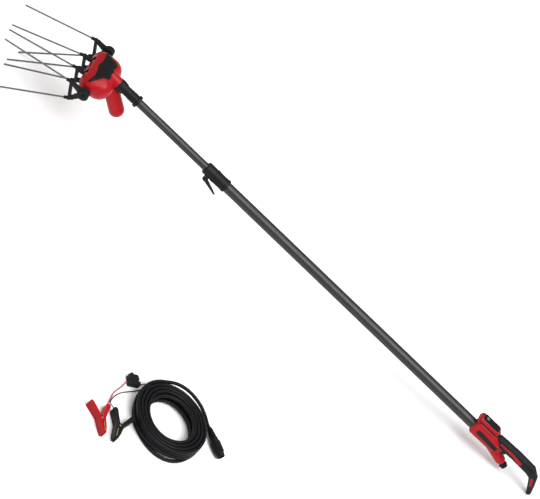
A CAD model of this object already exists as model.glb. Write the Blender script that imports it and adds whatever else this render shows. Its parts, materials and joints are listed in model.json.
import json
import math

import bmesh
import bpy
from mathutils import Matrix, Vector
from mathutils.bvhtree import BVHTree


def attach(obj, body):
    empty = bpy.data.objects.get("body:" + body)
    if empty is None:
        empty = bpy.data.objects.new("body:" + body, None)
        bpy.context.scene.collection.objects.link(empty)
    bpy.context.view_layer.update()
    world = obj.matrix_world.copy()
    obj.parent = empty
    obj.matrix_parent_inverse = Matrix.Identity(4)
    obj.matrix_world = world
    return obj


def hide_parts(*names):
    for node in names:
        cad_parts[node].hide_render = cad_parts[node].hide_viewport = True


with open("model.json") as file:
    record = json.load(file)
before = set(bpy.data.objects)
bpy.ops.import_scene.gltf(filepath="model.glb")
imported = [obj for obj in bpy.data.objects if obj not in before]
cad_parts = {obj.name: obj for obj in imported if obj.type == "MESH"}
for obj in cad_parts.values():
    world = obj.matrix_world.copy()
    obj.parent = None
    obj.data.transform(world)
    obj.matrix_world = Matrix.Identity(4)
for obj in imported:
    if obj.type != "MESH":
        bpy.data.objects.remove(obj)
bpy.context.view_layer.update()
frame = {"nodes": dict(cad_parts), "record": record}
nodes = frame["nodes"]
scene = bpy.context.scene
scene.view_settings.view_transform = "Standard"

MM = 0.001


# Frames of the object, as in the CAD source
LEAN = math.radians(5.812678)
ROW_MID = 786.466087
LIFT = 80.529892


def tool(x, y, z):
    """A point of the tool frame, in millimetres, in the row frame, in metres."""
    c, s = math.cos(LEAN), math.sin(LEAN)
    return Vector((x * c - z * s - ROW_MID, y, x * s + z * c + LIFT)) * MM


def tool_dir(x, y, z):
    """A direction of the tool frame, in the row frame."""
    c, s = math.cos(LEAN), math.sin(LEAN)
    return Vector((x * c - z * s, y, x * s + z * c)).normalized()


LEAD_TURN = math.radians(-145)
LEAD_AT = (33, 785)


def lead(x, y, z):
    """A point of the lead's own plan, in millimetres, in the row frame, in metres."""
    c, s = math.cos(LEAD_TURN), math.sin(LEAD_TURN)
    return Vector((LEAD_AT[0] + x * c - y * s, LEAD_AT[1] + x * s + y * c, z)) * MM


# Camera, floor and light
PICTURE = (540, 499)
MM_PER_PIXEL = 3.012
HANDLE_RIM = (473.8, 423.9)
CAMERA_AT = 24.0
SENSOR = 36
FLOOR_HALF = 30
FLOOR_DROP = 0.0004


def make_camera():
    """A long lens from the upper left side; the front rim of the handle lands on its pixel of the photograph."""
    back = tool_dir(0.2275, 0.745, 0.627)
    right = tool_dir(-0.7031, -0.3198, 0.6351)
    up = back.cross(right).normalized()
    right = up.cross(back)
    over = (HANDLE_RIM[0] - PICTURE[0] / 2) * MM_PER_PIXEL * MM
    under = (HANDLE_RIM[1] - PICTURE[1] / 2) * MM_PER_PIXEL * MM
    data = bpy.data.cameras.new("camera")
    data.sensor_width = SENSOR
    data.lens = SENSOR * CAMERA_AT / (PICTURE[0] * MM_PER_PIXEL * MM)
    data.clip_end = 60
    cam = bpy.data.objects.new("camera", data)
    m = Matrix((right, up, back)).transposed().to_4x4()
    m.translation = tool(0, 0, 0) - right * over + up * under + back * CAMERA_AT
    cam.matrix_world = m
    scene.collection.objects.link(cam)
    scene.camera = cam


def area_light(name, at, aim, size, power):
    data = bpy.data.lights.new(name, "AREA")
    data.shape = "RECTANGLE"
    data.size, data.size_y = size
    data.energy = power
    o = bpy.data.objects.new(name, data)
    o.location = at
    o.rotation_mode = "QUATERNION"
    o.rotation_quaternion = (Vector(aim) - Vector(at)).to_track_quat("-Z", "Y")
    scene.collection.objects.link(o)


def sun_light(name, direction, spread, strength):
    """Light that reaches the whole floor evenly, from a wide soft source."""
    data = bpy.data.lights.new(name, "SUN")
    data.energy = strength
    data.angle = math.radians(spread)
    o = bpy.data.objects.new(name, data)
    o.rotation_mode = "QUATERNION"
    o.rotation_quaternion = Vector(direction).to_track_quat("Z", "Y")
    scene.collection.objects.link(o)


def make_stage():
    me = bpy.data.meshes.new("floor")
    s = FLOOR_HALF
    me.from_pydata([(-s, -s, 0), (s, -s, 0), (s, s, 0), (-s, s, 0)], [], [(0, 1, 2, 3)])
    o = bpy.data.objects.new("floor", me)
    o.location = (0, 0, -FLOOR_DROP)
    scene.collection.objects.link(o)
    m = bpy.data.materials.new("floor")
    m.use_nodes = True
    b = m.node_tree.nodes["Principled BSDF"]
    b.inputs["Base Color"].default_value = (0.93, 0.93, 0.93, 1)
    b.inputs["Roughness"].default_value = 0.9
    b.inputs["Specular IOR Level"].default_value = 0.1
    me.materials.append(m)
    world = bpy.data.worlds.new("studio")
    scene.world = world
    world.use_nodes = True
    bg = world.node_tree.nodes["Background"]
    bg.inputs["Color"].default_value = (1, 1, 1, 1)
    bg.inputs["Strength"].default_value = 0.42
    sun_light("even", (-0.35, 0.25, 1.0), 50, 2.3)
    area_light("key", (-1.4, 1.6, 3.2), (0, 0.1, 0), (2.6, 1.6), 52)
    area_light("top", (0.9, -0.6, 3.4), (0.1, 0, 0), (3.0, 1.2), 22)
    area_light("fill", (1.6, 3.2, 1.5), (0.2, 0, 0.1), (1.8, 1.8), 12)


# Materials
class Shade:
    """A node material, built step by step."""

    def __init__(self, name):
        self.m = bpy.data.materials.new(name)
        self.m.use_nodes = True
        self.t = self.m.node_tree
        self.b = self.t.nodes["Principled BSDF"]
        self.coord = self.t.nodes.new("ShaderNodeTexCoord").outputs["Object"]
        self.normal = None

    def set(self, **values):
        for k, v in values.items():
            self.b.inputs[k.replace("_", " ")].default_value = v
        return self

    def link(self, a, b):
        self.t.links.new(a, b)

    def node(self, kind, **props):
        n = self.t.nodes.new(kind)
        for k, v in props.items():
            setattr(n, k, v)
        return n

    def noise(self, scale, detail=3.0, rough=0.55, vector=None, distortion=0.0):
        n = self.node("ShaderNodeTexNoise")
        n.inputs["Scale"].default_value = scale
        n.inputs["Detail"].default_value = detail
        n.inputs["Roughness"].default_value = rough
        n.inputs["Distortion"].default_value = distortion
        self.link(vector or self.coord, n.inputs["Vector"])
        return n.outputs["Fac"]

    def cells(self, scale):
        n = self.node("ShaderNodeTexVoronoi")
        n.inputs["Scale"].default_value = scale
        self.link(self.coord, n.inputs["Vector"])
        return n.outputs["Distance"]

    def ramp(self, fac, stops):
        n = self.node("ShaderNodeValToRGB")
        e = n.color_ramp.elements
        while len(e) < len(stops):
            e.new(0.5)
        for el, (at, c) in zip(e, stops):
            el.position = at
            el.color = (*c, 1)
        self.link(fac, n.inputs["Fac"])
        return n.outputs["Color"]

    def span(self, fac, low, high, lo_in=0.25, hi_in=0.75):
        n = self.node("ShaderNodeMapRange")
        n.inputs["From Min"].default_value = lo_in
        n.inputs["From Max"].default_value = hi_in
        n.inputs["To Min"].default_value = low
        n.inputs["To Max"].default_value = high
        self.link(fac, n.inputs["Value"])
        return n.outputs["Result"]

    def mix(self, fac, a, b):
        n = self.node("ShaderNodeMix", data_type="RGBA")
        for k, v in ((0, fac), (6, a), (7, b)):
            if hasattr(v, "is_output"):
                self.link(v, n.inputs[k])
            else:
                n.inputs[k].default_value = (*v, 1)
        return n.outputs[2]

    def colour(self, out):
        self.link(out, self.b.inputs["Base Color"])
        return self

    def rough(self, out):
        self.link(out, self.b.inputs["Roughness"])
        return self

    def bump(self, fac, strength, distance):
        n = self.node("ShaderNodeBump")
        n.inputs["Strength"].default_value = strength
        n.inputs["Distance"].default_value = distance
        self.link(fac, n.inputs["Height"])
        if self.normal is None:
            self.normal = self.edge(0.0005)
        self.link(self.normal, n.inputs["Normal"])
        self.normal = n.outputs["Normal"]
        self.link(self.normal, self.b.inputs["Normal"])
        return self

    def edge(self, radius):
        n = self.node("ShaderNodeBevel", samples=4)
        n.inputs["Radius"].default_value = radius
        return n.outputs["Normal"]

    def parting(self, width):
        """1 on the middle plane of the object, where its two halves meet."""
        n = self.node("ShaderNodeSeparateXYZ")
        self.link(self.coord, n.inputs["Vector"])
        a = self.node("ShaderNodeMath", operation="ABSOLUTE")
        self.link(n.outputs["Y"], a.inputs[0])
        return self.span(a.outputs["Value"], 1.0, 0.0, width * 0.4, width)

    def worn(self, radius=0.0009):
        """0 on a flat face and up to 1 along an outside edge."""
        soft = self.edge(radius)
        g = self.node("ShaderNodeNewGeometry")
        d = self.node("ShaderNodeVectorMath", operation="DOT_PRODUCT")
        self.link(soft, d.inputs[0])
        self.link(g.outputs["True Normal"], d.inputs[1])
        return self.span(d.outputs["Value"], 1.0, 0.0, 0.82, 0.99)


def moulded(name, low, high, rough, grain=0.12, coat=0.0, wear=None, split=False, shine=0.3):
    """Injection-moulded plastic: fine spark grain, slow mottling, rubbed edges and, on halves, the parting line."""
    s = Shade(name)
    patch = s.noise(38, 4)
    base = s.ramp(patch, [(0.3, low), (0.7, high)])
    if wear is not None:
        scuff = s.noise(420, 5, 0.7)
        n = s.node("ShaderNodeMath", operation="MULTIPLY")
        s.link(s.worn(), n.inputs[0])
        s.link(s.span(scuff, 0.0, 0.55), n.inputs[1])
        base = s.mix(n.outputs["Value"], base, wear)
    if split:
        line = s.parting(0.0004)
        base = s.mix(line, base, tuple(0.25 * c for c in low))
        s.bump(line, -0.6, 0.0006)
    s.colour(base)
    s.rough(s.span(s.noise(150, 3), rough - 0.06, rough + 0.08))
    s.bump(s.noise(2600, 2), grain, 0.0002)
    s.bump(s.noise(60, 2), 0.05, 0.0006)
    s.set(Coat_Weight=coat, Coat_Roughness=0.2, Specular_IOR_Level=shine)
    return s.m


def soft_rubber(name, low, high, rough):
    """Soft grip overmould: a fine pebbled grain and the line between its halves."""
    s = Shade(name)
    base = s.ramp(s.noise(45, 4), [(0.3, low), (0.7, high)])
    line = s.parting(0.0004)
    s.colour(s.mix(line, base, tuple(0.3 * c for c in low)))
    s.bump(line, -0.6, 0.0006)
    s.rough(s.span(s.noise(240, 3), rough - 0.06, rough + 0.06))
    s.bump(s.cells(900), 0.25, 0.00025)
    s.bump(s.noise(3000, 2), 0.12, 0.0001)
    s.set(Sheen_Weight=0.02, Sheen_Roughness=0.5, Specular_IOR_Level=0.14)
    return s.m


def tube_paint(name, low, high):
    """Anodised tube, with faint draw lines along the pole."""
    s = Shade(name)
    n = s.node("ShaderNodeMapping")
    n.inputs["Rotation"].default_value = (0, LEAN, 0)
    n.inputs["Scale"].default_value = (1.5, 420, 420)
    s.link(s.coord, n.inputs["Vector"])
    lines = s.noise(1.0, 3, 0.6, vector=n.outputs["Vector"])
    s.colour(s.mix(s.span(lines, 0.0, 1.0), low, high))
    s.rough(s.span(s.noise(30, 4), 0.36, 0.46))
    s.bump(lines, 0.06, 0.0002)
    s.bump(s.noise(1800, 2), 0.05, 0.0001)
    s.set(Metallic=0.5, Specular_IOR_Level=0.5)
    return s.m


def metal(name, low, high, rough):
    """Bare or blackened metal, with fine uneven marks."""
    s = Shade(name)
    marks = s.noise(900, 3, 0.6)
    s.colour(s.mix(s.span(marks, 0.0, 1.0), low, high))
    s.rough(s.span(s.noise(300, 3), rough - 0.05, rough + 0.1))
    s.bump(marks, 0.1, 0.0001)
    s.set(Metallic=1.0)
    return s.m


def rod(name, low, high):
    """Pultruded rod: fine streaks and an uneven surface."""
    s = Shade(name)
    streak = s.noise(260, 4, 0.7, distortion=1.5)
    s.colour(s.mix(s.span(streak, 0.0, 1.0), low, high))
    s.rough(s.span(s.noise(600, 3), 0.36, 0.5))
    s.bump(s.noise(700, 3), 0.25, 0.0003)
    s.set(Specular_IOR_Level=0.5)
    return s.m


def sheath(name, low, high, rough):
    """Cable sheath: soft, slightly dusty and a little uneven."""
    s = Shade(name)
    dust = s.noise(55, 5, 0.6)
    s.colour(s.ramp(dust, [(0.35, low), (0.75, high)]))
    s.rough(s.span(s.noise(90, 3), rough - 0.08, rough + 0.08))
    s.bump(s.noise(240, 3), 0.12, 0.0005)
    s.bump(s.noise(2200, 2), 0.08, 0.0001)
    s.set(Specular_IOR_Level=0.12)
    return s.m


RED = moulded("red_plastic", (0.30, 0.003, 0.007), (0.37, 0.004, 0.009), 0.34, 0.08, 0.08,
              wear=(0.52, 0.03, 0.035), split=True, shine=0.16)
CLIP_RED = moulded("clip_red", (0.31, 0.003, 0.007), (0.38, 0.004, 0.009), 0.4, 0.1,
                   wear=(0.5, 0.03, 0.035), shine=0.16)
BLACK = moulded("black_plastic", (0.005, 0.005, 0.006), (0.009, 0.009, 0.010), 0.44, 0.14,
                wear=(0.03, 0.03, 0.032), shine=0.15)
GLOSS = moulded("black_gloss", (0.004, 0.004, 0.005), (0.007, 0.007, 0.008), 0.18, 0.03, 0.1, shine=0.2)
GRIP = soft_rubber("soft_grip", (0.006, 0.006, 0.007), (0.011, 0.011, 0.012), 0.55)
POLE = tube_paint("pole_paint", (0.022, 0.023, 0.023), (0.034, 0.035, 0.036))
TINE = rod("tine_rod", (0.075, 0.077, 0.080), (0.13, 0.132, 0.137))
DARK = metal("black_oxide", (0.010, 0.010, 0.011), (0.020, 0.020, 0.022), 0.4)
STEEL = metal("steel", (0.45, 0.46, 0.48), (0.6, 0.61, 0.63), 0.28)
ALU = metal("aluminium", (0.52, 0.53, 0.54), (0.66, 0.67, 0.69), 0.4)
BRASS = metal("brass", (0.55, 0.36, 0.09), (0.72, 0.5, 0.16), 0.3)
CABLE = sheath("cable_sheath", (0.004, 0.004, 0.005), (0.008, 0.008, 0.009), 0.42)
WIRE = sheath("red_wire", (0.32, 0.003, 0.007), (0.40, 0.005, 0.009), 0.4)
FUSE = moulded("fuse_body", (0.03, 0.12, 0.36), (0.05, 0.16, 0.45), 0.2, 0.03, 0.2)
KEY = moulded("button_grey", (0.11, 0.115, 0.12), (0.15, 0.155, 0.16), 0.42, 0.1)

BY_SLOT = {
    "red_plastic": RED, "black_plastic": BLACK, "black_gloss": GLOSS, "soft_grip": GRIP, "pole_paint": POLE,
    "tine_rod": TINE, "steel": STEEL, "aluminium": ALU, "brass": BRASS, "cable_sheath": CABLE, "red_wire": WIRE,
    "fuse_body": FUSE, "button_grey": KEY}


def soft_normals():
    """Welds a solid's facets and shades it smooth, apart from its real edges."""
    g = bpy.data.node_groups.new("soft_normals", "GeometryNodeTree")
    g.interface.new_socket("Geometry", in_out="INPUT", socket_type="NodeSocketGeometry")
    g.interface.new_socket("Geometry", in_out="OUTPUT", socket_type="NodeSocketGeometry")
    n = g.nodes
    start, end = n.new("NodeGroupInput"), n.new("NodeGroupOutput")
    drop = n.new("GeometryNodeRemoveAttribute")
    drop.inputs["Name"].default_value = "custom_normal"
    weld = n.new("GeometryNodeMergeByDistance")
    weld.inputs["Distance"].default_value = 0.00002
    face = n.new("GeometryNodeSetShadeSmooth")
    face.domain = "FACE"
    face.inputs["Shade Smooth"].default_value = True
    edge = n.new("GeometryNodeSetShadeSmooth")
    edge.domain = "EDGE"
    edge.inputs["Shade Smooth"].default_value = False
    angle = n.new("GeometryNodeInputMeshEdgeAngle")
    sharp = n.new("FunctionNodeCompare")
    sharp.operation = "GREATER_THAN"
    sharp.inputs["B"].default_value = math.radians(33)
    link = g.links.new
    link(start.outputs[0], drop.inputs["Geometry"])
    link(drop.outputs["Geometry"], weld.inputs["Geometry"])
    link(weld.outputs["Geometry"], face.inputs["Geometry"])
    link(face.outputs["Geometry"], edge.inputs["Geometry"])
    link(angle.outputs["Unsigned Angle"], sharp.inputs["A"])
    link(sharp.outputs["Result"], edge.inputs["Selection"])
    link(edge.outputs["Geometry"], end.inputs[0])
    return g


def dress(smooth):
    by_node = {s["node"]: s["material_slot"] for s in frame["record"]["subparts"]}
    for name, o in nodes.items():
        m = BY_SLOT[by_node[name]]
        if name.startswith("red_clip"):
            m = CLIP_RED
        if name in ("comb_shaft", "clamp_pin"):
            m = DARK
        for i in range(max(1, len(o.material_slots))):
            if i < len(o.material_slots):
                o.material_slots[i].material = m
            else:
                o.data.materials.append(m)
        mod = o.modifiers.new("soft_normals", "NODES")
        mod.node_group = smooth


# Battery lead
CABLE_D = 11.0
LOOPS, LAYERS, COIL_R = 4, 4, 126.0
LOOP_PITCH, LAYER_PITCH = CABLE_D + 0.6, CABLE_D + 0.9
SLIP = ((0.0, 0.0), (2.0, -1.2), (-1.0, 1.0), (0.0, 0.0))
CLIMB = 0.25
BULGE_AT, BULGE_HALF, BULGE = 0.54, 0.15, 5.5
COIL_STEPS = 48
WIRE_D, WIRE_OFF = 3.2, 2.6
BOOT_Y = 127.5
LINE_STEPS = 8


def coil_point(t):
    """A point of the coil after t loops: it spirals in and out, and climbs a layer at each turning point.

    It lies a little loose: not quite round, each layer slipped to one side, and one outer loop standing out."""
    f = (t / LOOPS) % 2
    r = COIL_R - LOOP_PITCH * LOOPS * (f if f < 1 else 2 - f)
    edge = round(t / LOOPS)
    d = t - edge * LOOPS
    if edge < 1 or edge > LAYERS - 1 or abs(d) > CLIMB:
        h = math.floor(min(t, LOOPS * LAYERS - 0.001) / LOOPS)
    else:
        u = (d + CLIMB) / (2 * CLIMB)
        h = edge - 1 + u * u * (3 - 2 * u)
    a = 2 * math.pi * t
    r += 1.6 * (math.sin(2 * a + 0.7) - math.sin(0.7)) + 1.1 * (math.sin(3 * a + 2.1) - math.sin(2.1))
    if abs(t - BULGE_AT) < BULGE_HALF:
        r += BULGE * (1 + math.cos(math.pi * (t - BULGE_AT) / BULGE_HALF))
    k = min(int(h), LAYERS - 2)
    x, y = (SLIP[k][i] + (SLIP[k + 1][i] - SLIP[k][i]) * (h - k) for i in (0, 1))
    return Vector((x + r * math.sin(a), y + r * math.cos(a), CABLE_D / 2 + LAYER_PITCH * h))


def through(points, n):
    """A smooth line through route points, ends included."""
    p = [Vector(q) for q in points]
    out = []
    for i in range(len(p) - 1):
        a, b, c, d = p[max(i - 1, 0)], p[i], p[i + 1], p[min(i + 2, len(p) - 1)]
        for k in range(n):
            t = k / n
            out.append(0.5 * (2 * b + (c - a) * t + (2 * a - 5 * b + 4 * c - d) * t * t
                              + (3 * b - a - 3 * c + d) * t ** 3))
    out.append(p[-1])
    return out


def cord_curve(name, points, diameter, material):
    data = bpy.data.curves.new(name, "CURVE")
    data.dimensions = "3D"
    data.bevel_depth = diameter / 2 * MM
    data.bevel_resolution = 4
    data.use_fill_caps = True
    spline = data.splines.new("POLY")
    spline.points.add(len(points) - 1)
    for q, p in zip(spline.points, points):
        q.co = (*lead(*p), 1)
    o = bpy.data.objects.new(name, data)
    scene.collection.objects.link(o)
    data.materials.append(material)
    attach(o, "handle")
    return o


# Each clip: the place of its pin, its turn in degrees and the side of its fixed half
RED_CLIP = ((-244, -34), -3, 1)
BLACK_CLIP = ((-184, -50), -27, -1)
HANDLE_SPLAY = math.radians(31)
HANDLE_LONG = 56


def clip_place(clip, x, y, z):
    """A point of a clip's own plan, in the lead's plan; x is outwards on the fixed half's side."""
    at, turn, side = clip
    a = math.radians(turn)
    x *= side
    return (at[0] + x * math.cos(a) - y * math.sin(a), at[1] + x * math.sin(a) + y * math.cos(a), z)


def clip_tail(clip, out, z):
    """A place on the line of a clip's fixed handle, past the middle of its round end."""
    far = HANDLE_LONG + out
    return clip_place(clip, math.sin(HANDLE_SPLAY) * far, math.cos(HANDLE_SPLAY) * far, z)


def make_cable():
    top = CABLE_D / 2 + LAYER_PITCH * (LAYERS - 1)
    plug_dir = (math.cos(math.radians(-76)), math.sin(math.radians(-76)))
    tail = [(-30, 121, top), (0, 126, top), (46, 126, top), (90, 110, top - 5), (124, 80, 28), (142, 52, 19),
            (151 - 14 * plug_dir[0], 10 - 14 * plug_dir[1], 15.5), (151, 10, 15.5)]
    tail_line = through(tail, LINE_STEPS)[LINE_STEPS:]
    coil = [coil_point(i / COIL_STEPS) for i in range(LOOPS * LAYERS * COIL_STEPS + 1)]
    start = [Vector((-16, BOOT_Y, 5.5)), Vector((-10.5, 127.3, 5.5)), Vector((-5, 126.8, 5.5))]
    path = start + coil + tail_line[1:]
    cable = cord_curve("lead_cord", path, CABLE_D, CABLE)
    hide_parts("lead_cable")


def make_wires():
    feed = through([(-42.3, BOOT_Y + WIRE_OFF, 5.5), (-45, BOOT_Y + WIRE_OFF, 5.5), (-50, 129, 6), (-58, 126, 7.2),
                    (-66, 122, 8), (-69, 122, 8), (-71.7, 122, 8)], LINE_STEPS)
    o = cord_curve("red_feed_cord", feed, WIRE_D, WIRE)
    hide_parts("red_wire_feed")
    red = through([(-112.3, 122, 8), (-115, 122, 8), (-118, 122, 8), (-136, 104, 4), (-168, 78, 3),
                   clip_tail(RED_CLIP, 34, 6), clip_tail(RED_CLIP, 15, 12), clip_tail(RED_CLIP, 7.7, 12)], LINE_STEPS)
    o = cord_curve("red_clip_cord", red, WIRE_D, WIRE)
    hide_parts("red_wire_clip")
    contact_lip("red_clip_lip", RED_CLIP)
    black = through([(-42.3, BOOT_Y - WIRE_OFF, 5.5), (-45, BOOT_Y - WIRE_OFF, 5.5), (-50, 123.4, 5), (-66, 108, 3),
                     (-100, 96, 3), (-138, 84, 3), (-167, 66, 4), clip_tail(BLACK_CLIP, 34, 6),
                     clip_tail(BLACK_CLIP, 15, 12), clip_tail(BLACK_CLIP, 7.7, 12)], LINE_STEPS)
    o = cord_curve("black_clip_cord", black, WIRE_D, CABLE)
    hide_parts("black_wire")
    contact_lip("black_clip_lip", BLACK_CLIP)


# Small pieces
def skin(name):
    """The surface of a node, for casting lines at it."""
    me = nodes[name].data
    return BVHTree.FromPolygons([v.co for v in me.vertices], [p.vertices for p in me.polygons])


def loop_skin(name, loops, material, body, ring=False):
    """A closed piece through loops of points, all with the same count; a ring runs back into its first loop."""
    bm = bmesh.new()
    rows = [[bm.verts.new(p) for p in loop] for loop in loops]
    n = len(rows[0])
    for a, b in zip(rows, rows[1:] + rows[:1] if ring else rows[1:]):
        for k in range(n):
            bm.faces.new((a[k], a[(k + 1) % n], b[(k + 1) % n], b[k]))
    if not ring:
        bm.faces.new(rows[-1])
        bm.faces.new(reversed(rows[0]))
    bmesh.ops.recalc_face_normals(bm, faces=bm.faces)
    for f in bm.faces:
        f.smooth = True
    me = bpy.data.meshes.new(name)
    bm.to_mesh(me)
    bm.free()
    me.set_sharp_from_angle(angle=math.radians(38))
    me.materials.append(material)
    o = bpy.data.objects.new(name, me)
    scene.collection.objects.link(o)
    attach(o, body)
    return o


def turned_piece(name, at, axis, rings, material, body, seg=36, ring=False):
    """A turned piece from rings of (radius, height, lobe depth), in millimetres, along an axis."""
    z = axis.normalized()
    x = z.orthogonal().normalized()
    y = z.cross(x)
    loops = []
    for r, h, lobe in rings:
        loop = []
        for k in range(seg):
            a = 2 * math.pi * k / seg
            q = r * (1 - lobe * (0.5 - 0.5 * math.cos(6 * a)))
            loop.append(at + (x * math.cos(a) * q + y * math.sin(a) * q + z * h) * MM)
        loops.append(loop)
    loop_skin(name, loops, material, body, ring)


LIP_OUTLINE = ((1.6, -13), (3.6, -12.4), (4.2, -14), (4.0, -30), (3.0, -45), (2.3, -46.2), (0.9, -46), (1.2, -30))
LIP_MID = (2.4, -29.5)
LIP_LAYERS = ((22.5, 1.0), (24.3, 1.0), (24.6, 0.94))


def contact_lip(name, clip):
    """The edge of the brass contact, folded over the inner side of a clip's fixed jaw."""
    loops = []
    for z, keep in LIP_LAYERS:
        keep_long = 1 - (1 - keep) * 0.2
        loops.append([lead(*clip_place(clip, LIP_MID[0] + (x - LIP_MID[0]) * keep,
                                       LIP_MID[1] + (y - LIP_MID[1]) * keep_long, z)) for x, y in LIP_OUTLINE])
    loop_skin(name, loops, BRASS, "handle")


# Rings of a screw as (radius, height, lobe depth); the radius is a multiple of the head's
SEAT_RINGS = ((1.55, -1.2, 0), (1.55, 0.05, 0), (1.45, 0.3, 0), (1.32, 0.3, 0), (1.22, -0.1, 0))
HEAD_RINGS = ((1, -0.6, 0), (1, 0.25, 0), (0.88, 0.6, 0), (0.62, 0.72, 0), (0.56, 0.72, 0.26), (0.52, 0.66, 0.26),
              (0.48, -0.4, 0.26))
POD_SCREWS = ((-9, 24), (-13, -8), (-50, -8), (-88, -8), (-84, 20), (-128, -26))
GRIP_SCREWS = ((-93, 29), (-205, 23), (-268, -20))
SCREW_START = -80


def screw(name, node, x, z, r):
    """A pan-head screw with a six-lobed recess in a dark counterbore, on the right side of a handle's node."""
    hit, normal, _, _ = skin(node).ray_cast(tool(x, SCREW_START, z), Vector((0, 1, 0)))
    if hit is None:
        return
    turned_piece(name + "_seat", hit, normal, [(r * q, h, lobe) for q, h, lobe in SEAT_RINGS],
                 BLACK, "handle")
    turned_piece(name, hit, normal, [(r * q, h, lobe) for q, h, lobe in HEAD_RINGS], STEEL, "handle")


def make_screws():
    for i, (x, z) in enumerate(POD_SCREWS):
        screw("pod_screw_%d" % (i + 1), "handle_shell_right", x, z, 3.0)
    for i, (x, z) in enumerate(GRIP_SCREWS):
        screw("grip_screw_%d" % (i + 1), "grip_right", x, z, 2.6)


# Trim of the head
STAR_FRONT = ((1594, 0), (1592.5, 10), (1590, 22), (1589, 34), (1589, 44), (1590, 57), (1593.5, 70), (1594.5, 75))
STAR_REAR = ((1549, 0), (1549.5, 12), (1545, 30), (1551, 40), (1564, 46), (1577, 63), (1586, 74), (1591, 77.5))
STAR_ACROSS = (0, 0.03, 0.15, 0.3, 0.45, 0.6, 0.75, 0.9, 0.97, 1)
STAR_RISE, STAR_EDGE_RISE, STAR_SINK = 1.4, 0.5, 1.2
STAR_STEPS = 6
ABOVE_HEAD = 60
COLLAR_END = 1494
SKIRT_RINGS = ((18.45, 0.1, 0), (19.2, 0.1, 0), (19.4, 0.6, 0), (19.4, 17.2, 0), (19.1, 17.8, 0), (18.45, 17.9, 0))


def make_star():
    """The black star on the head's top, laid over the shells, with long arms towards the front."""
    trees = [skin(n) for n in ("head_shell_left", "head_shell_right")]
    down = tool_dir(0, 0, -1)

    def surface(x, y):
        start = tool(x, y, ABOVE_HEAD)
        found = [hit for hit in (t.ray_cast(start, down) for t in trees) if hit[0] is not None]
        return min(found, key=lambda hit: hit[3])[0]

    edges = [through([(*p, 0) for p in side], STAR_STEPS) for side in (STAR_FRONT, STAR_REAR)]
    half = list(zip(*edges))
    stations = [(a, b, -1) for a, b in reversed(half[1:])] + [(a, b, 1) for a, b in half]
    rise = [STAR_EDGE_RISE if k in (0, 1) else STAR_RISE for k in STAR_ACROSS]
    loops = []
    for a, b, side in stations:
        across = [a.lerp(b, k) for k in STAR_ACROSS]
        on = [surface(q.x, side * q.y) for q in across]
        loops.append([q - down * h * MM for q, h in zip(on, rise)]
                     + [q + down * STAR_SINK * MM for q in reversed(on)])
    star = loop_skin("star_plate", loops, BLACK, "mast")
    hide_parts("top_plate")


def make_skirt():
    """The skirt of the sleeve, pushed over the end of the head's collar."""
    turned_piece("sleeve_skirt", tool(COLLAR_END, 0, 0), tool_dir(1, 0, 0), SKIRT_RINGS,
                 BLACK, "mast", 64, True)


make_camera()
make_stage()
dress(soft_normals())
make_cable()
make_wires()
make_screws()
make_star()
make_skirt()
